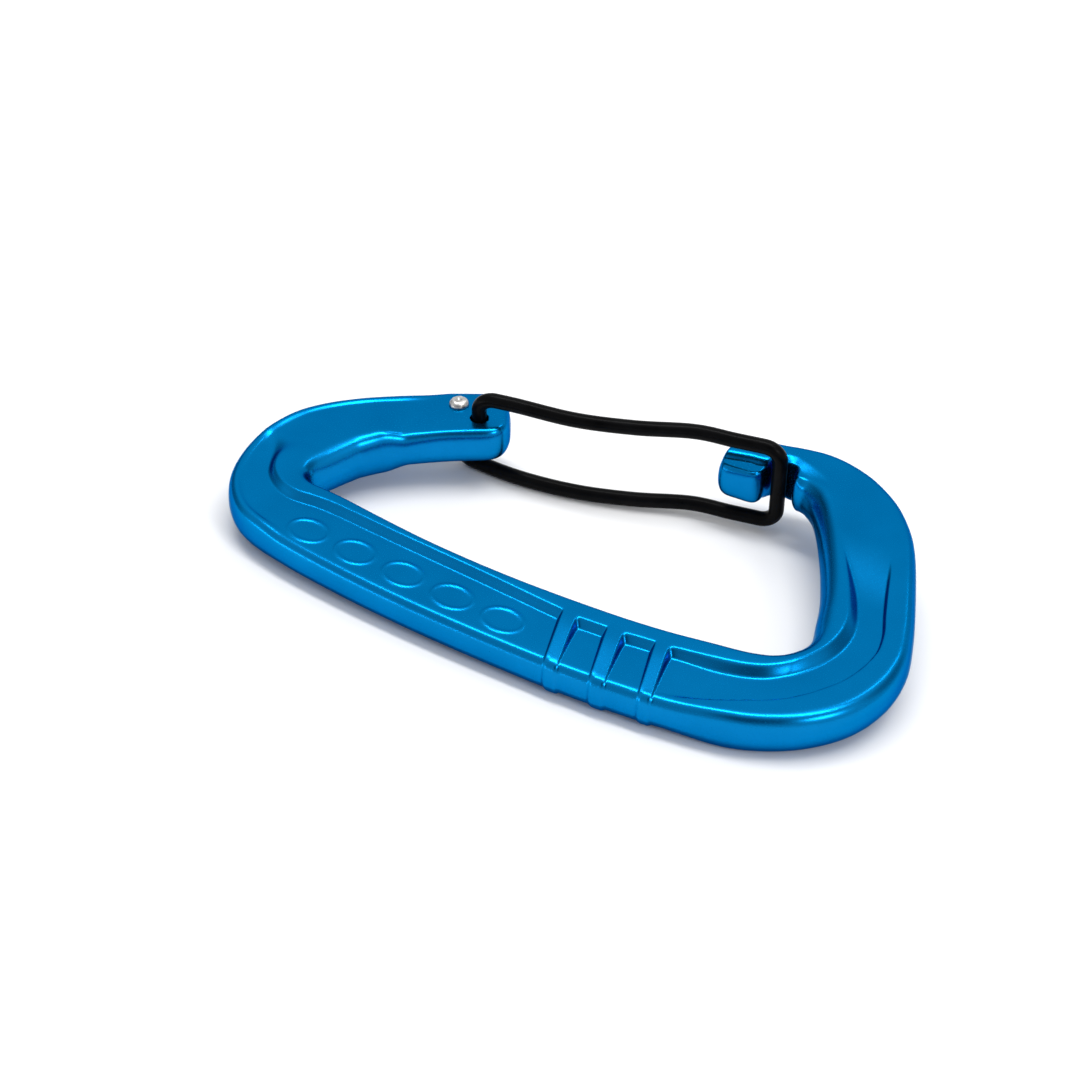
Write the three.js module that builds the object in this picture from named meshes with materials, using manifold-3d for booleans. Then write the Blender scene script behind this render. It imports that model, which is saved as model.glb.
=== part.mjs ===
// A wiregate carabiner: a forged body and a one-piece sprung wire gate.
// Millimetres. The body lies in the XY plane with its spine on the -Y side and its gate on the +Y side,
// the wide rope end at +X and the small hinge end at -X. Z = 0 is the middle of the thickness, and the
// origin is the centre of the whole object's box.
import * as THREE from 'three';
import { mergeVertices } from 'three/addons/utils/BufferGeometryUtils.js';
import Module from 'manifold-3d';

const wasm = await Module();
wasm.setup();

// ---------- driving dimensions ----------
const RIM_HALF = 3.8;            // half of the body's thickness at its raised rim
const WEB_HALF = 2.65;           // half of the thickness on the floor of the channels
const LIP_HALF = 3.3;            // half of the thickness of the outer lip round the wide end
const HINGE_HALF = 2.9;          // half of the thickness of the flattened hinge end
const NOSE_HALF = 2.8;           // half of the thickness of the nose hook on its inner side
const EDGE = 1.0;                // rounding of the body's long edges
const CUT_ROOM = 4;              // how far a cutter reaches past what it cuts
const BORE_SIDES = 24;
const OUTLINE_SEGMENTS = 3;      // facets between two outline points
const RELIEF_SEGMENTS = 4;       // facets between two points of a relief line

const WIRE_R = 1.1;              // gate wire radius
const WIRE_SIDES = 10;
const WIRE_STEPS = 66;
const LEG_Z = 6.5;               // height of each leg's centreline over and under the body's middle
const BEND_R = 2.2;              // centreline radius of the wire's tight bends
const QUARTER = 0.5523;          // handle length of a Bezier quarter circle of radius 1
const PIN_ROOM = 0.3;            // radial room round each wire end in its hole
const HEAD_R = 1.5;              // the peened wire end, a low dome with a short straight rim
const HEAD_H = 0.9;
const HEAD_RIM = 0.25;
const HEAD_SIDES = 20;
const HEAD_GAP = 0.3;            // between a peened end and the face of the body
const HALF_GAP = 0.15;           // half of the gap between the gate's two halves, at the crossbar's middle

const PIVOT_UPPER = [-25.3, 9.4];     // hole that takes the upper leg's end
const PIVOT_LOWER = [-29.65, 10.45];      // hole that takes the lower leg's end
const CROSSBAR = [17.05, 22.6];          // the gate's crossbar in its notch
const LEG_VIA = [[-20.0, 10.7], [-10.9, 12.5], [-2.8, 15.65], [4.7, 19.55], [10.7, 21.0]];

const BODY_COLOUR = 0x006fb4;
const WIRE_COLOUR = 0x0b0b0c;

// ---------- the body's outline, counter-clockwise ----------
const OUTER_EDGE = [
  [-32.9, 12.6], [-39.3, 6.45], [-45.6, 0.15], [-48.9, -5.45], [-50.1, -12.15], [-47.7, -20.25],
  [-42.4, -25.7], [-34.7, -27.95], [-24.3, -29.0], [-11.3, -29.45], [2.7, -29.2], [14.7, -28.5],
  [26.0, -27.05], [35.5, -25.0], [41.5, -22.05], [45.7, -18.3], [48.6, -13.8], [50.0, -8.3],
  [49.7, -2.85], [48.0, 2.35], [45.1, 8.95], [41.0, 17.25], [37.9, 21.75], [33.9, 25.55],
  [28.2, 28.65], [21.5, 29.75], [14.0, 27.95],
];
const INNER_EDGE = [
  [21.3, 21.25], [24.0, 19.25], [26.6, 15.95], [29.35, 11.7], [31.75, 7.6], [34.0, 3.15],
  [35.5, -0.85], [36.8, -4.65], [36.8, -7.65], [35.1, -10.55], [32.3, -12.25], [27.7, -13.65],
  [20.2, -15.35], [10.7, -16.65], [-2.3, -17.55], [-14.3, -17.6], [-24.3, -17.0],
];
const HINGE_START = [-22.7, 6.6];        // where the outline starts, on the hinge end's inner edge
const HINGE_INNER = [-19.6, 8.9];        // corners of the hinge end
const HINGE_OUTER = [-25.3, 17.5];
const HINGE_ROUND = 2.6;
const HINGE_THROAT = [-27.7, 2.85];      // inner edge between the hinge end and the small basket
const BASKET_SIDE = [[-35.2, -5.85], [-32.6, -2.05]];
const BASKET_CORNER = [-38.7, -15.8];    // where the small basket meets the spine
const BASKET_ROUND = 4.0;
const NOSE_OUTER = [8.2, 25.35];         // corners of the nose hook
const NOSE_OUTER_ROUND = 1.8;
const NOSE_INNER = [8.3, 18.65];
const NOSE_INNER_ROUND = 2.4;
const NOSE_TIP = [15.25, 19.8];
const NOSE_TIP_ROUND = 1.6;
const NOTCH_TOP = 24.0;                  // the notch that the crossbar rests in
const NOTCH_RIGHT = 19.25;
const NOTCH_ROUND = 0.8;
const NOTCH_MOUTH = [19.25, 21.65];
const MOUTH_ROUND = 1.3;

// ---------- relief on both faces ----------
// The raised rim's outer line, along the spine and round the wide end.
const RIM_SPINE = [
  [-43.7, -10.85], [-43.3, -14.85], [-41.3, -17.85], [-37.2, -19.25], [-30.7, -18.75], [-18.7, -19.05],
  [-4.7, -19.35], [7.7, -19.75],
];
const RIM_WIDE_END = [
  [23.5, -17.75], [30.8, -15.85], [35.9, -13.45], [38.9, -10.05], [40.5, -5.45], [39.7, -0.65],
  [37.2, 4.35], [34.0, 9.65],
];
// The outer lip that closes the channel round the wide end.
const LIP = [
  [38.9, 13.55], [42.3, 6.05], [44.9, -1.15], [45.4, -6.75], [44.3, -11.25], [41.2, -16.15],
  [35.4, -21.05], [27.1, -25.15],
];
const OUTSIDE_Y = -34;                   // cutters that run out of the spine's side end here
const POCKET_LEFT = [10.9, 17.35];       // left edges of the two grip pockets at the rim
const POCKET_WIDTH = 3.8;
const POCKET_RIM = [-19.6, -18.7];       // their inner edges
const RIB_LEAN = 0.3;                    // the grip ribs lean this far to +X for each mm outwards
const POCKET_SLANT = 0.3;                // half of the slope of a pocket's inner edge
const HINGE_FLAT = [[-31.8, -2.95], [-14.3, 5.55], [-22.3, 22.55], [-40.8, 10.55]];
const NOSE_STEP = [[5.7, 15.55], [23.7, 15.55], [24.3, 21.95], [20.1, 22.85], [5.7, 21.95]];
const FAR_LEFT = -56;                    // cutters that run out of an end stop here
const FAR_RIGHT = 56;

// ---------- helpers ----------
const vec = (p) => new THREE.Vector2(p[0], p[1]);

// Adds a straight run to `corner` and a round of about radius r that heads for `next`.
function roundTo(path, corner, next, r) {
  const c = vec(corner);
  const start = c.clone().add(path.currentPoint.clone().sub(c).setLength(r));
  const end = c.clone().add(vec(next).sub(c).setLength(r));
  path.lineTo(start.x, start.y);
  path.quadraticCurveTo(c.x, c.y, end.x, end.y);
}

function toSolid(geometry) {
  const g = geometry.clone();
  g.deleteAttribute('normal');
  g.deleteAttribute('uv');
  const merged = mergeVertices(g, 1e-4);
  return new wasm.Manifold(new wasm.Mesh({
    numProp: 3,
    vertProperties: new Float32Array(merged.attributes.position.array),
    triVerts: new Uint32Array(merged.index.array),
  }));
}

function toGeometry(solid) {
  const mesh = solid.getMesh();
  const geometry = new THREE.BufferGeometry();
  geometry.setAttribute('position', new THREE.BufferAttribute(new Float32Array(mesh.vertProperties), 3));
  geometry.setIndex(new THREE.BufferAttribute(new Uint32Array(mesh.triVerts), 1));
  geometry.computeVertexNormals();
  return geometry;
}

// A flat outline as a slab from z = low to z = high.
function slab(shape, low, high) {
  const geometry = new THREE.ExtrudeGeometry(shape, {
    depth: high - low,
    bevelEnabled: false,
    curveSegments: RELIEF_SEGMENTS,
  });
  geometry.translate(0, 0, low);
  return toSolid(geometry);
}

// The same cut on the top face and, mirrored, on the underside.
function cutBothFaces(solid, shape, floor) {
  const top = RIM_HALF + CUT_ROOM;
  return solid.subtract(slab(shape, floor, top)).subtract(slab(shape, -top, -floor));
}

// ---------- forged body ----------
function bodyOutline() {
  const path = new THREE.Shape();
  path.moveTo(...HINGE_START);
  roundTo(path, HINGE_INNER, HINGE_OUTER, HINGE_ROUND);
  roundTo(path, HINGE_OUTER, OUTER_EDGE[0], HINGE_ROUND);
  path.splineThru(OUTER_EDGE.map(vec));
  const notchLeft = [NOSE_TIP[0], NOTCH_TOP];
  const notchRight = [NOTCH_RIGHT, NOTCH_TOP];
  roundTo(path, NOSE_OUTER, NOSE_INNER, NOSE_OUTER_ROUND);
  roundTo(path, NOSE_INNER, NOSE_TIP, NOSE_INNER_ROUND);
  roundTo(path, NOSE_TIP, notchLeft, NOSE_TIP_ROUND);
  roundTo(path, notchLeft, notchRight, NOTCH_ROUND);
  roundTo(path, notchRight, NOTCH_MOUTH, NOTCH_ROUND);
  roundTo(path, NOTCH_MOUTH, INNER_EDGE[0], MOUTH_ROUND);
  path.splineThru(INNER_EDGE.map(vec));
  roundTo(path, BASKET_CORNER, BASKET_SIDE[0], BASKET_ROUND);
  path.splineThru([...BASKET_SIDE, HINGE_THROAT].map(vec));
  return path;
}

function polygon(points) {
  return new THREE.Shape(points.map(vec));
}

// The open channel along the spine and round the small end.
function spineChannel() {
  const path = new THREE.Shape();
  path.moveTo(FAR_LEFT, RIM_SPINE[0][1]);
  path.lineTo(...RIM_SPINE[0]);
  path.splineThru(RIM_SPINE.slice(1).map(vec));
  const end = RIM_SPINE.at(-1);
  path.lineTo(end[0] + (end[1] - OUTSIDE_Y) * RIB_LEAN, OUTSIDE_Y);
  path.lineTo(FAR_LEFT, OUTSIDE_Y);
  return path;
}

function gripPocket(index) {
  const left = POCKET_LEFT[index];
  const rim = POCKET_RIM[index];
  const lean = (rim - OUTSIDE_Y) * RIB_LEAN;
  return polygon([
    [left, rim - POCKET_SLANT],
    [left + lean, OUTSIDE_Y],
    [left + POCKET_WIDTH + lean, OUTSIDE_Y],
    [left + POCKET_WIDTH, rim + POCKET_SLANT],
  ]);
}

// The channel round the wide end, closed by the lip except where it starts, beside the last rib.
function wideChannel() {
  const path = new THREE.Shape();
  const start = RIM_WIDE_END[0];
  path.moveTo(start[0] + (start[1] - OUTSIDE_Y) * RIB_LEAN, OUTSIDE_Y);
  path.lineTo(...start);
  path.splineThru(RIM_WIDE_END.slice(1).map(vec));
  path.lineTo(...LIP[0]);
  path.splineThru(LIP.slice(1).map(vec));
  return path;
}

// Everything outside the lip's inner line, round the wide end.
function lipMargin() {
  const path = new THREE.Shape();
  path.moveTo(...LIP[0]);
  path.splineThru(LIP.slice(1).map(vec));
  path.lineTo(LIP.at(-1)[0], OUTSIDE_Y);
  path.lineTo(FAR_RIGHT, OUTSIDE_Y);
  path.lineTo(FAR_RIGHT, LIP[0][1]);
  return path;
}

function forgedBody() {
  const outline = new THREE.ExtrudeGeometry(bodyOutline(), {
    depth: 2 * (RIM_HALF - EDGE),
    bevelThickness: EDGE,
    bevelSize: EDGE,
    bevelOffset: -EDGE,
    bevelSegments: 2,
    curveSegments: OUTLINE_SEGMENTS,
  });
  outline.translate(0, 0, -(RIM_HALF - EDGE));
  let solid = toSolid(outline);
  for (const shape of [spineChannel(), gripPocket(0), gripPocket(1), wideChannel()]) {
    solid = cutBothFaces(solid, shape, WEB_HALF);
  }
  solid = cutBothFaces(solid, lipMargin(), LIP_HALF);
  solid = cutBothFaces(solid, polygon(HINGE_FLAT), HINGE_HALF);
  solid = cutBothFaces(solid, polygon(NOSE_STEP), NOSE_HALF);
  for (const pivot of [PIVOT_UPPER, PIVOT_LOWER]) {
    const r = WIRE_R + PIN_ROOM;
    const bore = new THREE.CylinderGeometry(r, r, 2 * HINGE_HALF + CUT_ROOM, BORE_SIDES);
    bore.rotateX(Math.PI / 2);
    bore.translate(pivot[0], pivot[1], 0);
    solid = solid.subtract(toSolid(bore));
  }
  return solid;
}

// ---------- wire gate ----------
// A quarter circle from `from` to `to`, which are equally far from the corner.
function quarter(from, corner, to) {
  const first = from.clone().lerp(corner, QUARTER);
  const second = to.clone().lerp(corner, QUARTER);
  return new THREE.CubicBezierCurve3(from, first, second, to);
}

// One leg with its bent end in its hole and its half of the crossbar. side is +1 over, -1 under the body.
function gateHalf(pivot, side) {
  const at = (p, z) => new THREE.Vector3(p[0], p[1], z * side);
  const legStart = at(pivot, LEG_Z);
  const legEnd = at(CROSSBAR, LEG_Z);
  const via = LEG_VIA.map((p) => at(p, LEG_Z));
  const afterBend = legStart.clone().add(via[0].clone().sub(legStart).setLength(BEND_R));
  const beforeBend = legEnd.clone().add(via.at(-1).clone().sub(legEnd).setLength(BEND_R));
  const route = new THREE.CurvePath();
  route.add(new THREE.LineCurve3(at(pivot, -(HINGE_HALF + HEAD_GAP + HEAD_RIM)), at(pivot, LEG_Z - BEND_R)));
  route.add(quarter(at(pivot, LEG_Z - BEND_R), legStart, afterBend));
  route.add(new THREE.CatmullRomCurve3([afterBend, ...via, beforeBend]));
  route.add(quarter(beforeBend, legEnd, at(CROSSBAR, LEG_Z - BEND_R)));
  route.add(new THREE.LineCurve3(at(CROSSBAR, LEG_Z - BEND_R), at(CROSSBAR, HALF_GAP)));

  const section = new THREE.Shape();
  section.absarc(0, 0, WIRE_R, 0, 2 * Math.PI);
  const wire = new THREE.ExtrudeGeometry(section, {
    extrudePath: route,
    steps: WIRE_STEPS,
    curveSegments: WIRE_SIDES / 2,
  });

  // The peened end, turned on the pin's axis and facing away from the leg.
  const dome = [
    [0, 0], [HEAD_R, 0], [HEAD_R, HEAD_RIM], [0.8 * HEAD_R, 0.7 * HEAD_H], [0, HEAD_H],
  ].map(vec);
  const head = new THREE.LatheGeometry(dome, HEAD_SIDES);
  head.translate(0, HINGE_HALF + HEAD_GAP, 0);
  head.rotateX(-side * Math.PI / 2);
  head.translate(pivot[0], pivot[1], 0);
  return toSolid(wire).add(toSolid(head));
}

function part(name, solid, material) {
  const mesh = new THREE.Mesh(toGeometry(solid), material);
  mesh.name = name;
  return mesh;
}

const anodised = new THREE.MeshStandardMaterial({ color: BODY_COLOUR, roughness: 0.35, metalness: 0.9 });
const blackWire = new THREE.MeshStandardMaterial({ color: WIRE_COLOUR, roughness: 0.4, metalness: 0.5 });

const carabiner = new THREE.Group();
carabiner.add(part('forged_body', forgedBody(), anodised));
carabiner.add(part('gate_wire_upper', gateHalf(PIVOT_UPPER, 1), blackWire));
carabiner.add(part('gate_wire_lower', gateHalf(PIVOT_LOWER, -1), blackWire));

export default carabiner;
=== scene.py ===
"""A wiregate carabiner in blue anodised aluminium with a black wire gate, built round its CAD frame."""

import math

import bmesh
import bpy
import numpy as np
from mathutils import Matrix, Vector
from mathutils.geometry import intersect_point_tri_2d


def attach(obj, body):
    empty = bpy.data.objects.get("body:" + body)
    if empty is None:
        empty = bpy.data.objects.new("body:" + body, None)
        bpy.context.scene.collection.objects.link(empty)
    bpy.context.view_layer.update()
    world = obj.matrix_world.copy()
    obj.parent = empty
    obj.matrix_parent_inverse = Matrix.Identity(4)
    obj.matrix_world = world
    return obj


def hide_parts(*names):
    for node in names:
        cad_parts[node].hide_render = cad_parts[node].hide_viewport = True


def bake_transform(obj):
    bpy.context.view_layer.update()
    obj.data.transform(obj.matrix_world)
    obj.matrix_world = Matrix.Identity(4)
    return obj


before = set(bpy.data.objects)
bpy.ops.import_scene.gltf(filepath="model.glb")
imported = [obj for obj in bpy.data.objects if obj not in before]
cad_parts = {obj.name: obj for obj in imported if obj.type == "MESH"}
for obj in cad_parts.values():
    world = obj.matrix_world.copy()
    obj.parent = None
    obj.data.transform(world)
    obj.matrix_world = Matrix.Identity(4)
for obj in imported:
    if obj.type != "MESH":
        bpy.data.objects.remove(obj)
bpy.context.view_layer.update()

MM = 0.001

# ---------- sizes, in millimetres ----------
RIM = 3.8                # half thickness at the raised rim
WEB = 2.65               # half thickness on the channel floors
HINGE = 2.9              # half thickness of the flattened hinge end
NOSE = 2.8               # half thickness of the nose hook on its inner side
LIP_TOP = 3.25           # half thickness of the lip round the wide end
WIRE_R = 1.1
LEG_Z = 6.5              # height of the gate's legs over and under the middle
BEND_R = 2.2             # centreline radius of the wire's tight bends
HOLE_R = 1.36
PIN_PAST = 0.15          # how far a pin comes out on its far side, into its peened head
HEAD_GAP = 0.02          # room between a peened head and the body's face
PIN_START = 2.75         # height where the bending wire ends inside its hole and its straight pin begins
PIN_LAP = 0.02           # the pin starts this far inside the bending wire

PIVOT_UPPER = (-25.3, 9.4)               # hole of the upper leg's end
PIVOT_LOWER = (-29.65, 10.45)            # hole of the lower leg's end
CROSSBAR = (17.05, 22.6)
LEG_VIA = [              # places along both legs, from the hinge end to the crossbar
    (-20.0, 10.7), (-10.9, 12.5), (-2.8, 15.65), (4.7, 19.55), (10.7, 21.0),
]

# ---------- how finely the meshes are divided, in millimetres ----------
LINE_STEP = 0.12         # between points along the outline
STATION_STEP = 0.36      # between stations along the bar
# Where the relief is finer: x from and to, y from and to, and the distance between stations there.
FINER = [
    (5.0, 28.0, -99.0, -15.0, 0.108), (0.0, 27.0, 10.0, 99.0, 0.162), (-99.0, -30.0, -99.0, -10.0, 0.252),
    (-35.0, 7.0, -99.0, -15.0, 0.2), (-34.0, -28.0, 0.0, 99.0, 0.252),
]
FINE = 300               # places across a station where the relief is sampled
ACROSS_STEPS = 68        # points across a station
# These points stand closest where the weights add up to most.
EVEN_WEIGHT = 0.02       # the same everywhere
WIDTH_WEIGHT = 1 / 7     # for the bar's width
TURN_WEIGHT = 0.55       # for the turn round the long edges
STEEP_WEIGHT = 0.35      # for the relief's steepness
CURVE_WEIGHT = 0.044     # for the relief's curvature
WALL_STEPS = 8           # divisions of a side wall
WALL_CROWN = 0.05        # how far the side walls bow out at mid thickness

# ---------- the body's outline in plan ----------
# Both edges run from the middle of the hinge end's face to the middle of the nose's face. A number after a
# point rounds the corner there by that radius.
OUTER_EDGE = [
    (-22.45, 13.2), (-25.3, 17.5, 4.4), (-32.9, 12.6), (-39.3, 6.45), (-45.6, 0.15), (-48.9, -5.45),
    (-50.1, -12.15), (-47.7, -20.25), (-42.4, -25.7), (-34.7, -27.95), (-24.3, -29.0), (-11.3, -29.45),
    (2.7, -29.2), (14.7, -28.5), (26.0, -27.05), (35.5, -25.0), (41.5, -22.05), (45.7, -18.3), (48.6, -13.8),
    (50.0, -8.3), (49.7, -2.85), (48.0, 2.35), (45.1, 8.95), (41.0, 17.25), (37.9, 21.75), (33.9, 25.55),
    (28.2, 28.65), (21.5, 29.75), (14.0, 27.95), (8.5, 26.2, 1.5), (8.5, 22.0),
]
INNER_EDGE = [
    (-22.45, 13.2), (-19.6, 8.9, 3.7), (-22.7, 6.6), (-27.7, 2.85), (-32.6, -2.05), (-35.2, -5.85),
    (-38.7, -15.8, 4.0), (-24.3, -17.0), (-14.3, -17.6), (-2.3, -17.55), (10.7, -16.65), (20.2, -15.35),
    (27.7, -13.65), (32.3, -12.25), (35.1, -10.55), (36.8, -7.65), (36.8, -4.65), (35.5, -0.85), (34.0, 3.15),
    (31.75, 7.6), (29.35, 11.7), (26.6, 15.95), (24.0, 19.25), (21.3, 21.25), (19.25, 21.65, 1.3),
    (19.25, 24.0, 0.8), (15.25, 24.0, 0.8), (15.25, 19.8, 1.6), (8.6, 18.65, 2.4), (8.5, 22.0),
]
# Places on the outer and the inner edge that face each other across the bar.
ACROSS = [
    ((-22.45, 13.2), (-22.45, 13.2)), ((-27.6, 16.1), (-22.7, 6.6)), ((-34.5, 11.2), (-27.7, 2.85)),
    ((-46.3, -0.9), (-35.2, -5.85)), ((-49.8, -9.0), (-37.6, -12.4)), ((-40.0, -26.7), (-34.6, -15.95)),
    ((-24.6, -29.0), (-24.3, -17.0)), ((0.0, -29.3), (-1.5, -17.5)), ((14.4, -28.5), (10.7, -16.65)),
    ((26.0, -27.05), (22.3, -15.0)), ((39.5, -23.3), (32.3, -12.25)), ((49.8, -10.0), (36.9, -6.2)),
    ((47.0, 4.8), (34.0, 3.15)), ((40.0, 18.6), (29.35, 11.7)), ((30.0, 27.9), (24.0, 19.25)),
    ((21.9, 29.75), (19.6, 21.4)), ((19.6, 29.5), (18.9, 24.0)), ((15.3, 28.4), (15.6, 24.0)),
    ((12.8, 27.5), (15.1, 20.3)), ((9.9, 26.0), (10.1, 18.95)), ((8.5, 22.0), (8.5, 22.0)),
]

# ---------- relief ----------
# The raised rim's outer line, from the hinge end round the small end, along the spine and round the wide end.
RIM_LINE = [
    (-31.5, 7.0), (-36.5, 2.8), (-40.5, -2.2), (-43.0, -7.0), (-43.7, -10.85), (-43.4, -14.6), (-41.4, -17.5),
    (-37.2, -19.3), (-30.7, -18.75), (-18.7, -19.05), (-4.7, -19.35), (7.7, -19.75), (13.0, -19.6),
    (19.3, -18.7), (23.7, -17.95), (29.4, -16.6), (33.6, -15.2), (36.4, -13.2), (38.9, -9.6), (40.2, -5.2),
    (39.7, -0.65), (37.2, 4.35), (34.0, 9.65), (31.0, 14.0),
]
# The inner line of the lip that closes the channel round the wide end.
LIP_LINE = [
    (27.0, -24.9), (32.7, -22.4), (36.4, -20.2), (39.5, -17.9), (42.2, -14.6), (44.6, -10.0), (45.5, -4.6),
    (44.8, -0.7), (43.1, 3.2), (41.4, 7.2), (39.4, 12.2), (37.0, 17.0),
]
# The hood's edge over the nose, running on as the shoulder's upper crease.
HOOD_LINE = [
    (5.0, 20.2), (9.6, 21.6), (12.2, 22.4), (14.4, 22.9), (16.0, 24.9), (17.9, 25.8), (19.6, 25.4),
    (21.3, 24.9), (23.0, 24.1), (24.9, 22.9), (27.5, 21.0),
]
RIB_LEAN = 0.3           # the grip ribs lean this far to +X for each mm outwards
RIB_Y = -19.2            # where the ribs' places are given
RIB_SPANS = [(-80.0, 8.0), (10.0, 14.7), (16.9, 21.65), (23.5, 90.0)]      # open spans between the ribs
RIB_SLOPE = 2.4          # steepness of the ribs' flanks
RIB_PROUD = 0.22         # how far the ribs stand out of the side wall
MARGIN = 1.75            # width of the raised margin round the small end
MARGIN_RISE = 0.26
# A row of plain ovals in low relief on the spine, in place of the maker's lettering.
OVALS = 5
OVAL_FIRST = (-30.3, -24.3)
OVAL_LAST = (2.0, -24.7)
OVAL_HALF = (3.0, 2.1)
OVAL_LINE = 0.22         # half width of the raised line
OVAL_RISE = 0.15
FAR_SIDE = 3.4           # half thickness beside the rim on the small end's far side

# Slopes are rises over runs. A corner is the reach over which two surfaces melt into each other.
RIM_SLOPE = 1.35
WIDE_EASE = 0.35         # the rim's slope is less by this round the wide end
FAR_SLOPE = 0.2          # the rim's slope where it runs out on the small end's far side
WIDE_DEEPER = 0.2        # the channel is deeper by this round the wide end
RIB_END = 0.2            # the ribs' outer ends stand this far over the channel's floor
RIB_FALL_FROM = 1.6      # the ribs' tops fall from here outwards
RIB_FALL_CORNER = 1.2
RIB_FALL_LENGTH = 6.4
POCKET_CORNER = 0.9      # between the rim and the left flank of an open span
RIB_CORNER = 0.2         # between those two and the right flank
RIM_CORNER = 0.22
FLOOR_CORNER = 0.12
FAR_RIM_SOFTER = 0.5     # both corners are wider by this on the small end's far side
FAR_FLOOR_SOFTER = 0.4
LIP_RUN = (-0.1, 0.3)    # the lip's inner side, across its line
LIP_CORNER = 0.05
BAND_RUN = 0.3           # half of the run of the small end's band, down to the face
# The hinge end is flat beyond a line through this place, square to this direction.
FLAT_PLACE = (-33.3, -0.3)
FLAT_WAY = (0.83, 0.55)
FLAT_INNER_END = (-38.0, -14.0)          # the inner edge counts from the hinge end up to here
FLAT_REACH = 1.5         # half of the run down to the flat at the inner edge
FLAT_SPREAD = 0.4        # that run's growth for each mm away from the inner edge
LEDGE_RISE = 0.35        # the ledge behind the notch is higher by this than the nose's
NOSE_SLOPE = 1.3
SHOULDER_EASE = 0.94     # the slope is less by this behind the notch
HOOD_CORNER = (0.6, 0.4)                 # at the nose, and how much less behind the notch
LEDGE_CORNER = (0.2, 0.1)
# Where one form of the relief passes into the next: the places where the change begins and is complete.
WIDE_X = (23.0, 31.0)
WIDE_Y = (16.0, 4.0)
FAR_Y = (-16.5, -9.5)
WIDE_WEB_Y = (4.0, 15.0)
SMALL_WEB_Y = (-13.0, -4.0)
LIP_Y = (0.0, 13.0)
LIP_X = (24.5, 36.0)
BAND_X = (-32.5, -37.5)
BEHIND_X = (15.5, 18.0)
SHOULDER_X = (20.5, 25.5)
NOSE_X = (27.5, 24.5)
NOSE_Y = (14.0, 17.5)


# ---------- plane curves ----------
def spline(points, steps=14):
    """Points along a Catmull-Rom curve through the given ones."""
    p = np.array([points[0]] + list(points) + [points[-1]], float)
    t = np.linspace(0, 1, steps, endpoint=False)[:, None]
    out = []
    for a, b, c, d in zip(p, p[1:], p[2:], p[3:]):
        out.append(b + 0.5 * t * (c - a + t * (2 * a - 5 * b + 4 * c - d + t * (3 * (b - c) + d - a))))
    return np.vstack(out + [p[-1:]])


def resample(line, step):
    length = np.concatenate([[0], np.cumsum(np.linalg.norm(np.diff(line, axis=0), axis=1))])
    s = np.linspace(0, length[-1], max(2, int(length[-1] / step)))
    return np.stack([np.interp(s, length, line[:, k]) for k in (0, 1)], 1)


def soften(line, reach):
    """Smooths a row of values or points along itself, keeping both ends."""
    kernel = np.exp(-0.5 * (np.arange(-3 * reach, 3 * reach + 1) / reach) ** 2)
    kernel /= kernel.sum()
    pad = 3 * reach
    head, tail = 2 * line[0] - line[pad:0:-1], 2 * line[-1] - line[-2:-pad - 2:-1]
    full = np.concatenate([head, line, tail])
    if line.ndim == 1:
        return np.convolve(full, kernel, "valid")
    return np.stack([np.convolve(full[:, k], kernel, "valid") for k in range(line.shape[1])], 1)


def outline(points):
    """A dense smooth line through plain points, with straight runs up to the rounded corners."""
    runs, run = [], []
    for i, p in enumerate(points):
        if len(p) == 2:
            run.append(p)
            continue
        corner, r = np.array(p[:2]), p[2]
        before = np.array(run[-1] if run else runs[-1][-1])
        after = np.array(points[i + 1][:2])
        start = corner + (before - corner) / np.linalg.norm(before - corner) * r
        end = corner + (after - corner) / np.linalg.norm(after - corner) * r
        if len(run) > 1:
            runs.append(spline(run))
        elif run:
            runs.append(np.array(run, float))
        t = np.linspace(0, 1, 12)[:, None]
        runs.append((1 - t) ** 2 * start + 2 * t * (1 - t) * corner + t ** 2 * end)
        run = []
    runs.append(spline(run) if len(run) > 1 else np.array(run, float))
    line = resample(np.vstack(runs), LINE_STEP)
    return soften(line, 3)


outer_line = outline(OUTER_EDGE)
inner_line = outline(INNER_EDGE)


def nearest(line, p):
    return int(np.argmin(((line - np.array(p)) ** 2).sum(1)))


def distance(points, line, chunk=130):
    """Distance to a line and the place along it, for many points, and +1 on its right-hand side or -1."""
    start, run = line[:-1], np.diff(line, axis=0)
    longest = np.linalg.norm(run, axis=1).max()
    best, place, side = [], [], []
    for i in range(0, len(points), chunk):
        p = points[i:i + chunk]
        centre = 0.5 * (p.min(0) + p.max(0))
        reach = np.linalg.norm(p - centre, axis=1).max()
        away = np.linalg.norm(start - centre, axis=1)
        near = np.flatnonzero(away < away.min() + 2 * (reach + longest))
        a, d = start[near], run[near]
        px, py = p[:, :1] - a[:, 0], p[:, 1:] - a[:, 1]
        t = np.clip((px * d[:, 0] + py * d[:, 1]) / (d ** 2).sum(1), 0, 1)
        ox, oy = px - t * d[:, 0], py - t * d[:, 1]
        q = ox * ox + oy * oy
        k = np.argmin(q, 1)
        rows = np.arange(len(k))
        best.append(np.sqrt(q[rows, k]))
        place.append(near[k] + t[rows, k])
        side.append(np.sign(ox[rows, k] * d[k, 1] - oy[rows, k] * d[k, 0]))
    return np.concatenate(best), np.concatenate(place), np.concatenate(side)


# ---------- smooth building blocks for the relief ----------
def step(a, b, x):
    t = np.clip((x - a) / (b - a), 0, 1)
    return t * t * (3 - 2 * t)


def smooth_max(a, b, r):
    return 0.5 * (a + b + np.sqrt((a - b) ** 2 + r * r))


def smooth_min(a, b, r):
    return 0.5 * (a + b - np.sqrt((a - b) ** 2 + r * r))


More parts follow.
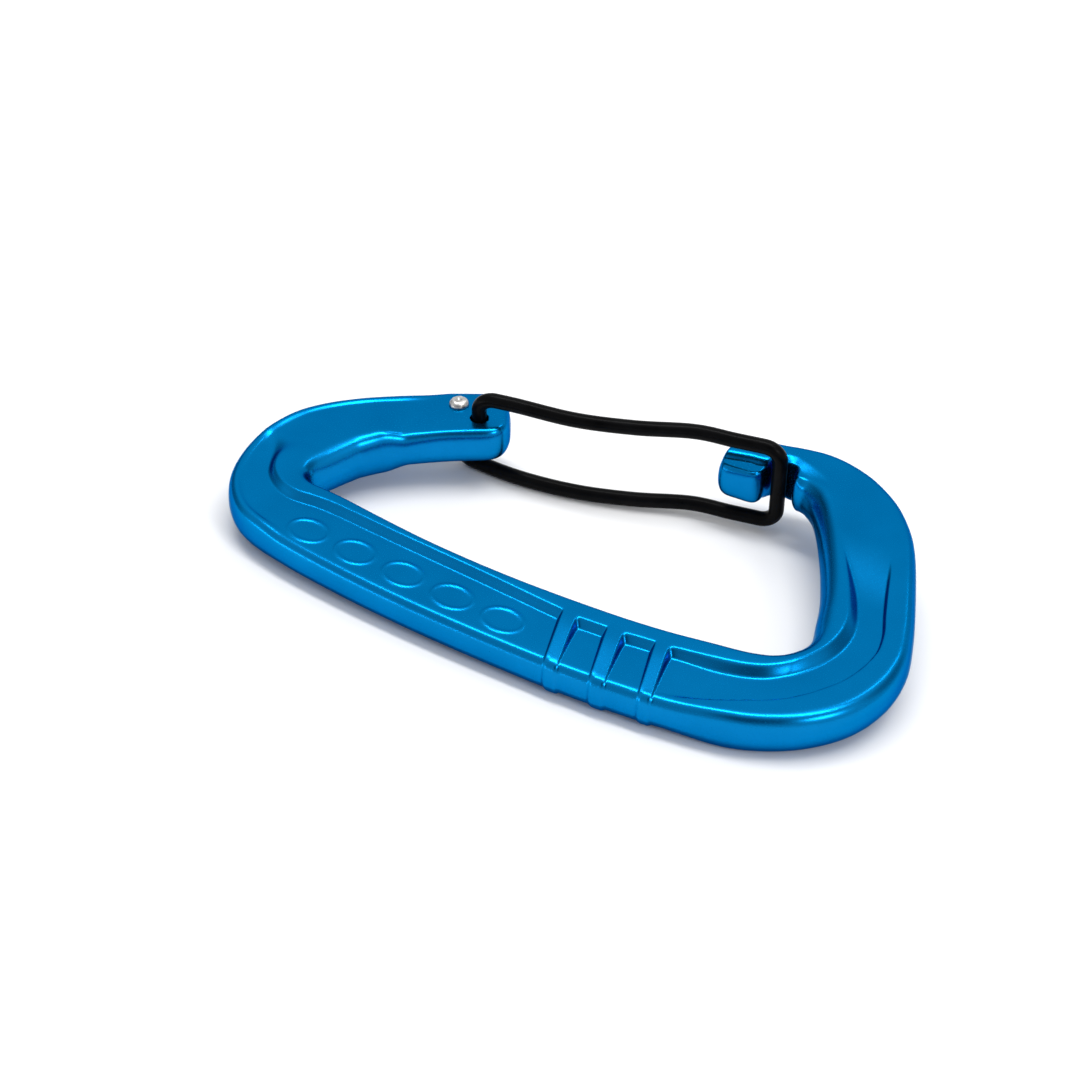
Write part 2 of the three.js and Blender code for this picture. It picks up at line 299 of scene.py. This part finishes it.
def rib_gaps(points):
    """How far each point is inside an open span from the span's left and right ribs, negative on the ribs."""
    q = points[:, 0] + RIB_LEAN * (points[:, 1] - RIB_Y)
    square = math.cos(math.atan(RIB_LEAN))
    inside = np.full(len(q), -99.0)
    left, right = np.zeros(len(q)), np.zeros(len(q))
    for low, high in RIB_SPANS:
        here = np.minimum(q - low, high - q)
        best = here > inside
        inside = np.where(best, here, inside)
        left = np.where(best, q - low, left)
        right = np.where(best, high - q, right)
    near = (q > 0) & (q < 40) & (points[:, 1] < -10)
    return np.where(near, left * square, 99.0), np.where(near, right * square, 99.0), near


def oval_relief(x, y):
    """The raised outlines of the row of ovals."""
    along = (x - OVAL_FIRST[0]) / (OVAL_LAST[0] - OVAL_FIRST[0])
    number = np.clip(np.round(along * (OVALS - 1)), 0, OVALS - 1) / (OVALS - 1)
    u = (x - OVAL_FIRST[0] - number * (OVAL_LAST[0] - OVAL_FIRST[0])) / OVAL_HALF[0]
    v = (y - OVAL_FIRST[1] - number * (OVAL_LAST[1] - OVAL_FIRST[1])) / OVAL_HALF[1]
    r = np.hypot(u, v)
    off = (r - 1) * r / np.maximum(np.hypot(u / OVAL_HALF[0], v / OVAL_HALF[1]), 1e-6)
    return OVAL_RISE * np.exp(-(off / OVAL_LINE) ** 2)


def height(points):
    """Half thickness of the body over each plan point, before its long edges are rounded."""
    x, y = points[:, 0], points[:, 1]
    rim_d, _, rim_side = distance(points, RIM_DENSE)
    out = rim_d * rim_side                                   # outwards from the rim's outer line
    left, right, near_ribs = rib_gaps(points)

    # The channels' floor, the rim's wall and the ribs that cross the channel.
    wide = step(*WIDE_X, x) * step(*WIDE_Y, y)
    far_end = step(*FAR_Y, y) * (x < -20)
    slope = RIM_SLOPE - WIDE_EASE * wide
    slope = slope * (1 - far_end) + FAR_SLOPE * far_end
    web = WEB - WIDE_DEEPER * wide
    web = web + (RIM - web) * step(*WIDE_WEB_Y, y) * (x > 0)
    web = web + (FAR_SIDE - web) * step(*SMALL_WEB_Y, y) * (x < 0)
    fallen = np.clip(smooth_max(out - RIB_FALL_FROM, 0, RIB_FALL_CORNER) / RIB_FALL_LENGTH, 0, 1)
    rib_top = RIM - (RIM - WEB - RIB_END) * fallen
    drop = smooth_min(smooth_min(out * slope, left * RIB_SLOPE, POCKET_CORNER), right * RIB_SLOPE, RIB_CORNER)
    drop = smooth_max(drop, 0, RIM_CORNER + FAR_RIM_SOFTER * far_end)
    top = np.where(near_ribs, rib_top, RIM)
    h = smooth_max(web, top - drop, FLOOR_CORNER + FAR_FLOOR_SOFTER * far_end)
    h = h + oval_relief(x, y)

    # The lip round the wide end.
    lip_d, _, lip_side = distance(points, LIP_DENSE)
    lip_top = LIP_TOP + (RIM - LIP_TOP) * step(*LIP_Y, y)
    lip_top = web + (lip_top - web) * step(*LIP_X, x)
    rise = step(*LIP_RUN, lip_d * lip_side) * (x > 20)
    h = h + (smooth_max(h, lip_top, LIP_CORNER) - h) * rise

    # The hinge end is flattened. The step down to it is short at the inner edge and longer away from it.
    along = (x - FLAT_PLACE[0]) * FLAT_WAY[0] + (y - FLAT_PLACE[1]) * FLAT_WAY[1]
    inner_d = distance(points, inner_line[:nearest(inner_line, FLAT_INNER_END)])[0]
    reach = FLAT_REACH + FLAT_SPREAD * inner_d
    flat = step(-reach, reach, along) * (x < -15) * (y > -12)
    h = h + (np.minimum(h, HINGE) - h) * flat

    # The raised band along the outer edge round the small end.
    edge_d = distance(points, outer_line)[0]
    band = step(MARGIN + BAND_RUN, MARGIN - BAND_RUN, edge_d) * step(*BAND_X, x)
    h = h + MARGIN_RISE * band

    # The nose hook: thinner on its inner side, with a hood over the outer side and a shoulder behind it.
    hood_d, _, hood_side = distance(points, HOOD_DENSE)
    behind = step(*BEHIND_X, x)
    ledge = NOSE + LEDGE_RISE * behind + (RIM - NOSE - LEDGE_RISE) * step(*SHOULDER_X, x)
    drop = smooth_max(hood_d * hood_side, 0, HOOD_CORNER[0] - HOOD_CORNER[1] * behind)
    drop = drop * (NOSE_SLOPE - SHOULDER_EASE * behind)
    nose = smooth_max(ledge, RIM - drop, LEDGE_CORNER[0] - LEDGE_CORNER[1] * behind)
    at_nose = step(*NOSE_X, x) * step(*NOSE_Y, y) * (x > 0)
    return h + (np.minimum(h, nose) - h) * at_nose


def proud_ribs(line):
    """The outer edge with the grip ribs standing out of it."""
    left, right, _ = rib_gaps(line)
    tangent = np.gradient(line, axis=0)
    tangent /= np.linalg.norm(tangent, axis=1)[:, None]
    push = RIB_PROUD * step(0.25, -0.35, np.minimum(left, right))
    return line + push[:, None] * np.stack([tangent[:, 1], -tangent[:, 0]], 1)


outer_line = proud_ribs(outer_line)
edge_loop = np.vstack([outer_line, inner_line[::-1]])
RIM_DENSE = resample(spline(RIM_LINE), 0.4)
LIP_DENSE = resample(spline(LIP_LINE), 0.4)
HOOD_DENSE = resample(spline(HOOD_LINE), 0.3)

# The long edges are superellipses: place on the edge, width of the rounding in plan, exponent (2 is an
# ellipse, more is squarer), and the upright wall's share of the height.
OUTER_ROUND = [
    ((-22.45, 13.2), 1.7, 2.7, 0.3), ((-27.6, 16.1), 1.5, 2.7, 0.3), ((-34.5, 11.2), 1.4, 2.6, 0.25),
    ((-46.3, -0.9), 1.3, 2.6, 0.25), ((-47.7, -20.25), 1.5, 2.6, 0.25), ((-34.7, -27.95), 1.7, 2.7, 0.3),
    ((0.0, -29.3), 1.8, 2.7, 0.3), ((26.0, -27.05), 1.8, 2.6, 0.28), ((35.5, -25.0), 1.9, 2.6, 0.25),
    ((45.7, -18.3), 2.2, 2.4, 0.22), ((50.0, -8.3), 2.3, 2.4, 0.22), ((48.0, 2.35), 2.0, 2.5, 0.25),
    ((41.0, 17.25), 1.8, 2.5, 0.25), ((28.2, 28.65), 1.8, 2.5, 0.25), ((14.0, 27.95), 1.8, 2.5, 0.25),
    ((8.5, 22.0), 0.9, 2.9, 0.35),
]
INNER_ROUND = [
    ((-22.45, 13.2), 1.7, 2.7, 0.3), ((-20.6, 8.1), 1.4, 2.7, 0.32), ((-27.7, 2.85), 1.3, 2.7, 0.32),
    ((-31.0, -0.4), 1.6, 2.4, 0.26), ((-33.6, -3.4), 2.1, 2.3, 0.2), ((-36.0, -8.5), 2.5, 2.15, 0.14),
    ((-37.4, -12.4), 2.4, 2.1, 0.12), ((-34.6, -15.95), 1.3, 2.7, 0.3), ((-30.0, -16.5), 0.9, 3.2, 0.4),
    ((10.7, -16.65), 1.0, 3.2, 0.4), ((27.7, -13.65), 1.3, 2.7, 0.3), ((35.1, -10.55), 2.3, 2.3, 0.16),
    ((36.8, -4.65), 3.2, 2.05, 0.1), ((34.0, 3.15), 3.2, 2.05, 0.1), ((29.35, 11.7), 3.2, 2.05, 0.1),
    ((24.0, 19.25), 2.9, 2.1, 0.12), ((20.6, 21.5), 1.9, 2.2, 0.2), ((19.25, 23.0), 0.7, 3.6, 0.4),
    ((15.25, 22.0), 0.7, 3.6, 0.4), ((13.0, 19.45), 0.9, 3.0, 0.35), ((9.5, 18.9), 1.3, 2.7, 0.3),
    ((8.5, 22.0), 0.9, 2.9, 0.35),
]
UNDER_SOFTER = 0.72      # the underside's edges are rounder by this factor on the exponent


def rounding(line, keys):
    at = [nearest(line, k[0]) for k in keys]
    at[0], at[-1] = 0, len(line) - 1
    n = np.arange(len(line))
    return np.stack([soften(np.interp(n, at, [k[c] for k in keys]), 12) for c in (1, 2, 3)], 1)


EDGE_ROUND = np.vstack([rounding(outer_line, OUTER_ROUND), rounding(inner_line, INNER_ROUND)[::-1]])


def surface(points, softer=1.0):
    """Height of the surface, and how far the plan point is round the long edge (0 inside, 1 on the wall)."""
    h = height(points)
    d, place, _ = distance(points, edge_loop)
    n = np.arange(len(edge_loop))
    width = np.interp(place, n, EDGE_ROUND[:, 0])
    power = np.maximum(2.0, softer * np.interp(place, n, EDGE_ROUND[:, 1]))
    share = np.interp(place, n, EDGE_ROUND[:, 2])
    start = 1 - (1 - share ** power) ** (1 / power)
    turn = 1 - np.clip(start + (1 - start) * d / width, 0, 1)
    return h * (1 - turn ** power) ** (1 / power), turn


# ---------- stations across the bar ----------
def stations():
    """Matching points on the outer and the inner edge, closer together where the relief is finer."""
    outer_at = [nearest(outer_line, o) for o, _ in ACROSS]
    inner_at = [nearest(inner_line, i) for _, i in ACROSS]
    outer_at[0], inner_at[0] = 0, 0
    outer_at[-1], inner_at[-1] = len(outer_line) - 1, len(inner_line) - 1
    u = np.linspace(0, 1, 4000)
    knots = 0.5 * (np.array(outer_at) / outer_at[-1] + np.array(inner_at) / inner_at[-1])
    so = np.interp(u, knots, outer_at)
    si = np.interp(u, knots, inner_at)
    so, si = soften(so, 30), soften(si, 30)
    outer = np.stack([np.interp(so, np.arange(len(outer_line)), outer_line[:, k]) for k in (0, 1)], 1)
    inner = np.stack([np.interp(si, np.arange(len(inner_line)), inner_line[:, k]) for k in (0, 1)], 1)
    middle = 0.5 * (outer + inner)
    x, y = middle[:, 0], middle[:, 1]
    spacing = np.full(len(u), STATION_STEP)
    for low_x, high_x, low_y, high_y, closer in FINER:
        spacing[(x > low_x) & (x < high_x) & (y > low_y) & (y < high_y)] = closer
    spacing = np.exp(soften(np.log(spacing), 12))
    outer_run = np.linalg.norm(np.diff(outer, axis=0), axis=1)
    inner_run = np.linalg.norm(np.diff(inner, axis=0), axis=1)
    travel = 0.5 * (outer_run + inner_run)
    count = np.concatenate([[0], np.cumsum(travel / (0.5 * (spacing[1:] + spacing[:-1])))])
    pick = np.linspace(0, count[-1], int(count[-1]))
    at = np.interp(pick, count, u)
    return tuple(np.stack([np.interp(at, u, e[:, k]) for k in (0, 1)], 1) for e in (outer, inner))


def spread(outer, inner):
    """For each station, places from the outer to the inner edge, closer together where the surface turns."""
    t = np.linspace(0, 1, FINE)
    grid = outer[:, None, :] * (1 - t)[None, :, None] + inner[:, None, :] * t[None, :, None]
    z, turn = surface(grid.reshape(-1, 2))
    z, turn = z.reshape(len(outer), FINE), turn.reshape(len(outer), FINE)
    width = np.linalg.norm(outer - inner, axis=1)[:, None]
    bend = np.abs(np.diff(np.arcsin(turn ** 1.5), axis=1))
    rise = np.abs(np.diff(z, axis=1))
    curve = np.abs(np.diff(z, 2, axis=1, prepend=z[:, :1]))
    weight = EVEN_WEIGHT + WIDTH_WEIGHT * width / FINE + TURN_WEIGHT * bend + STEEP_WEIGHT * rise
    weight = weight + CURVE_WEIGHT * curve * FINE / np.maximum(width, 1)
    for _ in range(2):
        padded = np.pad(weight, ((6, 6), (0, 0)), mode="edge")
        weight = np.mean([padded[i:i + len(weight)] for i in range(13)], axis=0)
    total = np.concatenate([np.zeros((len(weight), 1)), np.cumsum(weight, 1)], 1)
    return np.stack([np.interp(np.linspace(0, row[-1], ACROSS_STEPS), row, t) for row in total])


# ---------- meshes ----------
def new_object(name, verts, faces, material, smooth_angle=None):
    mesh = bpy.data.meshes.new(name)
    mesh.from_pydata([Vector(v) * MM for v in verts], [], faces)
    mesh.polygons.foreach_set("use_smooth", [True] * len(mesh.polygons))
    tidy = bmesh.new()
    tidy.from_mesh(mesh)
    bmesh.ops.remove_doubles(tidy, verts=tidy.verts, dist=0.004 * MM)
    bmesh.ops.dissolve_degenerate(tidy, edges=tidy.edges, dist=0.002 * MM)
    bmesh.ops.recalc_face_normals(tidy, faces=tidy.faces)
    tidy.to_mesh(mesh)
    tidy.free()
    if smooth_angle:
        mesh.set_sharp_from_angle(angle=math.radians(smooth_angle))
    mesh.materials.append(material)
    obj = bpy.data.objects.new(name, mesh)
    bpy.context.scene.collection.objects.link(obj)
    return obj


def outward(line, points, sign):
    """Unit direction away from the metal at each of the points on an edge line."""
    tangent = np.gradient(line, axis=0)
    tangent /= np.linalg.norm(tangent, axis=1)[:, None]
    _, place, _ = distance(points, line)
    n = np.arange(len(line))
    t = np.stack([np.interp(place, n, tangent[:, k]) for k in (0, 1)], 1)
    return sign * np.stack([t[:, 1], -t[:, 0]], 1)


def wall(edge, z, away):
    """Points down a side wall from +z to -z, bowed out in the middle."""
    f = np.linspace(1, -1, WALL_STEPS + 1)[1:-1]
    bow = WALL_CROWN * (1 - f ** 2)
    xy = edge[:, None, :] + away[:, None, :] * bow[None, :, None]
    return np.concatenate([xy, (z[:, None] * f[None, :])[..., None]], 2)


def body_rings():
    outer, inner = stations()
    t = spread(outer, inner)
    plan = outer[:, None, :] * (1 - t)[..., None] + inner[:, None, :] * t[..., None]
    z = surface(plan.reshape(-1, 2))[0].reshape(t.shape)
    under = surface(plan.reshape(-1, 2), UNDER_SOFTER)[0].reshape(t.shape)
    top = np.concatenate([plan, z[..., None]], 2)
    bottom = np.concatenate([plan, -under[..., None]], 2)[:, ::-1]
    inner_wall = wall(plan[:, -1], z[:, -1], outward(inner_line, inner, -1))
    outer_wall = wall(plan[:, 0], z[:, 0], outward(outer_line, outer, 1))[:, ::-1]
    return np.concatenate([top, inner_wall, bottom, outer_wall], 1)


def build_body(material):
    rings = body_rings()
    count, ring = rings.shape[:2]
    faces = []
    for i in range(count - 1):
        for j in range(ring):
            k = (j + 1) % ring
            faces.append((i * ring + j, i * ring + k, (i + 1) * ring + k, (i + 1) * ring + j))
    body = new_object("carabiner_body_forging", rings.reshape(-1, 3).tolist(), faces, material)
    for pivot in (PIVOT_UPPER, PIVOT_LOWER):
        drill(body, pivot)
    return body


def drill(body, pivot):
    bm = bmesh.new()
    r = HOLE_R * MM
    bmesh.ops.create_cone(bm, cap_ends=True, segments=40, radius1=r, radius2=r, depth=0.02)
    mesh = bpy.data.meshes.new("drill")
    bm.to_mesh(mesh)
    bm.free()
    cutter = bpy.data.objects.new("drill", mesh)
    cutter.location = (pivot[0] * MM, pivot[1] * MM, 0)
    bpy.context.scene.collection.objects.link(cutter)
    cut = body.modifiers.new("hole", "BOOLEAN")
    cut.operation = "DIFFERENCE"
    cut.solver = "EXACT"
    cut.object = cutter
    bpy.context.view_layer.objects.active = body
    bpy.ops.object.modifier_apply(modifier=cut.name)
    bpy.data.objects.remove(cutter)


# ---------- the wire gate ----------
def bend(start, corner, end, steps=10):
    """A quarter circle between two points equally far from the corner."""
    a, c, e = (np.array(p, float) for p in (start, corner, end))
    centre = a + e - c
    f = np.linspace(0, math.pi / 2, steps)[:, None]
    return centre + (a - centre) * np.cos(f) + (e - centre) * np.sin(f)


def gate_half(pivot, side):
    """Centreline from just inside the pin's hole, along the leg, to the middle of the crossbar."""
    def at(p, z):
        return np.array([p[0], p[1], z * side])
    leg = spline([pivot] + LEG_VIA + [CROSSBAR], 16)
    corner_a, corner_b = at(pivot, LEG_Z), at(CROSSBAR, LEG_Z)
    away_a = np.linalg.norm(leg - np.array(pivot), axis=1)
    away_b = np.linalg.norm(leg - np.array(CROSSBAR), axis=1)
    middle = leg[(away_a > BEND_R) & (away_b > BEND_R)]
    first, last = at(middle[0], LEG_Z), at(middle[-1], LEG_Z)
    return np.vstack([
        [at(pivot, PIN_START), at(pivot, HINGE), at(pivot, LEG_Z - BEND_R - 0.4)],
        bend(at(pivot, LEG_Z - BEND_R), corner_a, first),
        [at(p, LEG_Z) for p in middle[1:-1]],
        bend(last, corner_b, at(CROSSBAR, LEG_Z - BEND_R)),
        [at(CROSSBAR, z) for z in (3.2, 2.0, 1.2, 0.6)],
    ])


def tube(name, path, radius, material, sides=24):
    path = np.array(path)
    tangent = np.gradient(path, axis=0)
    tangent /= np.linalg.norm(tangent, axis=1)[:, None]
    side = np.cross(tangent[0], [0.3, 0.9, 0.1])
    rings = []
    angle = np.linspace(0, 2 * math.pi, sides, endpoint=False)
    for p, t in zip(path, tangent):
        side = side - t * np.dot(side, t)
        side /= np.linalg.norm(side)
        other = np.cross(t, side)
        rings.append(p + radius * (np.cos(angle)[:, None] * side + np.sin(angle)[:, None] * other))
    verts = np.vstack(rings)
    faces = []
    for i in range(len(path) - 1):
        for j in range(sides):
            k = (j + 1) % sides
            faces.append((i * sides + j, i * sides + k, (i + 1) * sides + k, (i + 1) * sides + j))
    faces.append(tuple(range(sides))[::-1])
    last = (len(path) - 1) * sides
    faces.append(tuple(range(last, last + sides)))
    return new_object(name, verts.tolist(), faces, material, smooth_angle=50)


def build_pin(name, pivot, side, material):
    """The wire's end in its hole, in line with the leg's bend."""
    path = [(*pivot, z * side) for z in (PIN_START + PIN_LAP, 1.0, -1.0, -(HINGE + PIN_PAST))]
    return tube(name, path, WIRE_R, material)


def build_gate(material):
    upper = gate_half(PIVOT_UPPER, 1)
    lower = gate_half(PIVOT_LOWER, -1)[::-1]
    return tube("gate_wire", np.vstack([upper, [[*CROSSBAR, 0]], lower]), WIRE_R, material)


def build_head(name, pivot, side, material):
    """The peened end of the wire: a low dome with a dented crown, its rim pressed on the body's face."""
    profile = [
        (0.0, 0.62), (0.16, 0.63), (0.32, 0.70), (0.46, 0.82), (0.62, 0.86), (0.85, 0.82), (1.08, 0.70),
        (1.28, 0.51), (1.42, 0.30), (1.47, 0.12), (1.44, 0.0), (0.0, 0.0),
    ]
    around = 48
    verts, faces = [], []
    for r, h in profile:
        for k in range(around):
            a = 2 * math.pi * k / around
            dent = 0.16 * math.exp(-((r * math.cos(a) + 0.45) ** 2 + (r * math.sin(a) - 0.35) ** 2) / 0.12)
            wave = 1 + 0.025 * math.sin(3 * a + 0.7) + 0.015 * math.sin(7 * a)
            lift = 1 + 0.05 * math.sin(2 * a) * min(r, 1.0)
            z = HINGE + HEAD_GAP + h * lift - dent * (h > 0.3)
            verts.append((pivot[0] + r * wave * math.cos(a), pivot[1] + r * wave * math.sin(a), z * side))
    for i in range(len(profile) - 1):
        for k in range(around):
            n = (k + 1) % around
            faces.append((i * around + k, i * around + n, (i + 1) * around + n, (i + 1) * around + k))
    return new_object(name, verts, faces, material, smooth_angle=60)


# ---------- materials ----------
def material(name):
    mat = bpy.data.materials.new(name)
    mat.use_nodes = True
    nodes, links = mat.node_tree.nodes, mat.node_tree.links
    return mat, nodes, links, nodes["Principled BSDF"]


def noise(nodes, links, scale, detail=3.0, roughness=0.55):
    place = nodes.new("ShaderNodeTexCoord")
    tex = nodes.new("ShaderNodeTexNoise")
    tex.inputs["Scale"].default_value = scale
    tex.inputs["Detail"].default_value = detail
    tex.inputs["Roughness"].default_value = roughness
    links.new(place.outputs["Object"], tex.inputs["Vector"])
    return tex.outputs["Fac"]


def ramp(nodes, links, value, stops):
    node = nodes.new("ShaderNodeValToRGB")
    node.color_ramp.elements[0].position, node.color_ramp.elements[0].color = stops[0]
    node.color_ramp.elements[1].position, node.color_ramp.elements[1].color = stops[-1]
    for position, color in stops[1:-1]:
        node.color_ramp.elements.new(position).color = color
    links.new(value, node.inputs["Fac"])
    return node.outputs["Color"]


def span(nodes, links, value, low, high):
    node = nodes.new("ShaderNodeMapRange")
    node.inputs["To Min"].default_value = low
    node.inputs["To Max"].default_value = high
    links.new(value, node.inputs["Value"])
    return node.outputs["Result"]


def bump(nodes, links, shader, value, strength, depth):
    node = nodes.new("ShaderNodeBump")
    node.inputs["Strength"].default_value = strength
    node.inputs["Distance"].default_value = depth * MM
    links.new(value, node.inputs["Height"])
    links.new(node.outputs["Normal"], shader.inputs["Normal"])


def anodised_aluminium():
    mat, nodes, links, shader = material("blue anodised aluminium")
    shader.inputs["Metallic"].default_value = 1.0
    cloud = noise(nodes, links, 90, 4)
    tint = ramp(nodes, links, cloud, [(0.3, (0.0012, 0.17, 0.445, 1)), (0.7, (0.002, 0.196, 0.505, 1))])
    links.new(tint, shader.inputs["Base Color"])
    grain = noise(nodes, links, 5200, 2)
    links.new(span(nodes, links, grain, 0.2, 0.31), shader.inputs["Roughness"])
    shader.inputs["Specular Tint"].default_value = (0.15, 0.4, 0.6, 1)
    bump(nodes, links, shader, grain, 0.06, 0.02)
    return mat


def black_coating():
    mat, nodes, links, shader = material("black coated steel")
    cloud = noise(nodes, links, 240, 4)
    tint = ramp(nodes, links, cloud, [(0.3, (0.0008, 0.0008, 0.001, 1)), (0.75, (0.004, 0.004, 0.0045, 1))])
    links.new(tint, shader.inputs["Base Color"])
    links.new(span(nodes, links, noise(nodes, links, 900, 3), 0.24, 0.36), shader.inputs["Roughness"])
    shader.inputs["Specular IOR Level"].default_value = 0.05
    bump(nodes, links, shader, noise(nodes, links, 2600, 2), 0.25, 0.02)
    return mat


def bare_steel():
    mat, nodes, links, shader = material("peened bare steel")
    shader.inputs["Metallic"].default_value = 1.0
    cloud = noise(nodes, links, 1400, 4)
    tint = ramp(nodes, links, cloud, [(0.3, (0.42, 0.41, 0.4, 1)), (0.7, (0.78, 0.77, 0.75, 1))])
    links.new(tint, shader.inputs["Base Color"])
    links.new(span(nodes, links, cloud, 0.22, 0.4), shader.inputs["Roughness"])
    bump(nodes, links, shader, noise(nodes, links, 1800, 3), 0.4, 0.04)
    return mat


def pale_floor():
    mat, nodes, links, shader = material("pale floor")
    cloud = noise(nodes, links, 3, 2)
    tint = ramp(nodes, links, cloud, [(0.3, (0.9, 0.9, 0.9, 1)), (0.7, (0.92, 0.92, 0.92, 1))])
    links.new(tint, shader.inputs["Base Color"])
    shader.inputs["Roughness"].default_value = 0.9
    shader.inputs["Specular IOR Level"].default_value = 0.1
    return mat


# ---------- the object ----------
body = build_body(anodised_aluminium())
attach(body, "carabiner_body")
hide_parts("forged_body")

coated = black_coating()
gate = build_gate(coated)
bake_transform(gate)
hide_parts("gate_wire_upper", "gate_wire_lower")

for name, pivot, side, rider in (
    ("gate_pin_upper", PIVOT_UPPER, 1, "gate_upper"), ("gate_pin_lower", PIVOT_LOWER, -1, "gate_lower"),
):
    pin = build_pin(name, pivot, side, coated)
    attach(pin, rider)

steel = bare_steel()
for name, pivot, side, rider in (
    ("peened_end_top", PIVOT_LOWER, 1, "gate_lower"), ("peened_end_bottom", PIVOT_UPPER, -1, "gate_upper"),
):
    head = build_head(name, pivot, side, steel)
    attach(head, rider)

# ---------- stage, lights and camera ----------
VIEW_AZIMUTH = 33.5
VIEW_ELEVATION = 40.0
VIEW_DISTANCE = 0.298
VIEW_CENTRE = Vector((-0.00228, -0.00942, 0.00352))
LENS = 73.5
REST_MIDDLE = Vector((0.0, -0.004))      # roughly the centre of mass, seen from above
FLOOR_GAP = 0.00003
# Darker places in the studio: azimuth, elevation, the angles where each begins and is complete, and what is
# left of the light there.
DARK_PLACES = [
    (29.0, 42.0, 30.0, 9.0, 0.2), (10.0, 42.0, 60.0, 20.0, 0.8), (135.0, 25.0, 26.0, 7.0, 0.4),
    (-95.0, 9.0, 36.0, 12.0, 0.4),
]


def direction(azimuth, elevation):
    a, e = math.radians(azimuth), math.radians(elevation)
    return Vector((math.sin(a) * math.cos(e), -math.cos(a) * math.cos(e), math.sin(e)))


def aim(obj, target):
    obj.rotation_euler = (target - obj.location).to_track_quat("-Z", "Y").to_euler()


def resting_plane(objects):
    """A point and the upward normal of the plane the object rests on: the hull's face below its middle."""
    bm = bmesh.new()
    for obj in objects:
        for v in obj.data.vertices:
            bm.verts.new(v.co)
    bmesh.ops.convex_hull(bm, input=bm.verts)
    bmesh.ops.triangulate(bm, faces=bm.faces)
    best = None
    for face in bm.faces:
        corners = [v.co.copy() for v in face.verts]
        if intersect_point_tri_2d(REST_MIDDLE, *(c.xy for c in corners)):
            normal = (corners[1] - corners[0]).cross(corners[2] - corners[0]).normalized()
            if normal.z < 0:
                normal.negate()
            if best is None or corners[0].z < best[0].z:
                best = corners[0], normal
    bm.free()
    return best


def build_floor(objects):
    """A pale plane that the carabiner lies on, resting on its lower gate leg and its underside."""
    point, normal = resting_plane(objects)
    bm = bmesh.new()
    bmesh.ops.create_grid(bm, x_segments=8, y_segments=8, size=4.0)
    mesh = bpy.data.meshes.new("floor")
    bm.to_mesh(mesh)
    bm.free()
    mesh.materials.append(pale_floor())
    floor = bpy.data.objects.new("floor", mesh)
    floor.rotation_euler = normal.to_track_quat("Z", "Y").to_euler()
    floor.location = point - normal * FLOOR_GAP
    bpy.context.scene.collection.objects.link(floor)


def softbox(name, azimuth, elevation, away, size, size_y, power):
    light = bpy.data.lights.new(name, "AREA")
    light.shape = "RECTANGLE"
    light.size, light.size_y = size, size_y
    light.energy = power
    obj = bpy.data.objects.new(name, light)
    obj.location = direction(azimuth, elevation) * away
    aim(obj, Vector((0, 0, 0)))
    bpy.context.scene.collection.objects.link(obj)


def build_world():
    """Even grey light with a few darker places in it."""
    world = bpy.data.worlds.new("studio")
    world.use_nodes = True
    nodes, links = world.node_tree.nodes, world.node_tree.links
    place = nodes.new("ShaderNodeTexCoord")
    total = None
    for azimuth, elevation, wide, narrow, left in DARK_PLACES:
        along = nodes.new("ShaderNodeVectorMath")
        along.operation = "DOT_PRODUCT"
        along.inputs[1].default_value = direction(azimuth, elevation)
        links.new(place.outputs["Generated"], along.inputs[0])
        shade = nodes.new("ShaderNodeMapRange")
        shade.interpolation_type = "SMOOTHSTEP"
        shade.inputs["From Min"].default_value = math.cos(math.radians(wide))
        shade.inputs["From Max"].default_value = math.cos(math.radians(narrow))
        shade.inputs["To Min"].default_value = 1.0
        shade.inputs["To Max"].default_value = left
        links.new(along.outputs["Value"], shade.inputs["Value"])
        if total is None:
            total = shade.outputs["Result"]
            continue
        both = nodes.new("ShaderNodeMath")
        both.operation = "MULTIPLY"
        links.new(total, both.inputs[0])
        links.new(shade.outputs["Result"], both.inputs[1])
        total = both.outputs["Value"]
    colour = ramp(nodes, links, total, [(0.0, (0.02, 0.025, 0.06, 1)), (1.0, (0.84, 0.84, 0.84, 1))])
    links.new(colour, nodes["Background"].inputs["Color"])
    bpy.context.scene.world = world


def build_camera():
    camera = bpy.data.cameras.new("camera")
    camera.lens = LENS
    camera.sensor_width = 36
    camera.clip_start = 0.01
    obj = bpy.data.objects.new("camera", camera)
    obj.location = VIEW_CENTRE + direction(VIEW_AZIMUTH, VIEW_ELEVATION) * VIEW_DISTANCE
    aim(obj, VIEW_CENTRE)
    bpy.context.scene.collection.objects.link(obj)
    bpy.context.scene.camera = obj


build_floor([body, gate])
build_world()
softbox("top softbox", 180, 82, 0.9, 1.0, 0.12, 5.0)
softbox("low front strip", -32, 5, 1.0, 0.8, 0.05, 1.2)
softbox("right softbox", 74, 33, 1.0, 0.22, 0.22, 1.6)
softbox("back strip", 165, 50, 1.0, 0.06, 0.4, 0.5)
build_camera()
bpy.context.scene.view_settings.view_transform = "Standard"
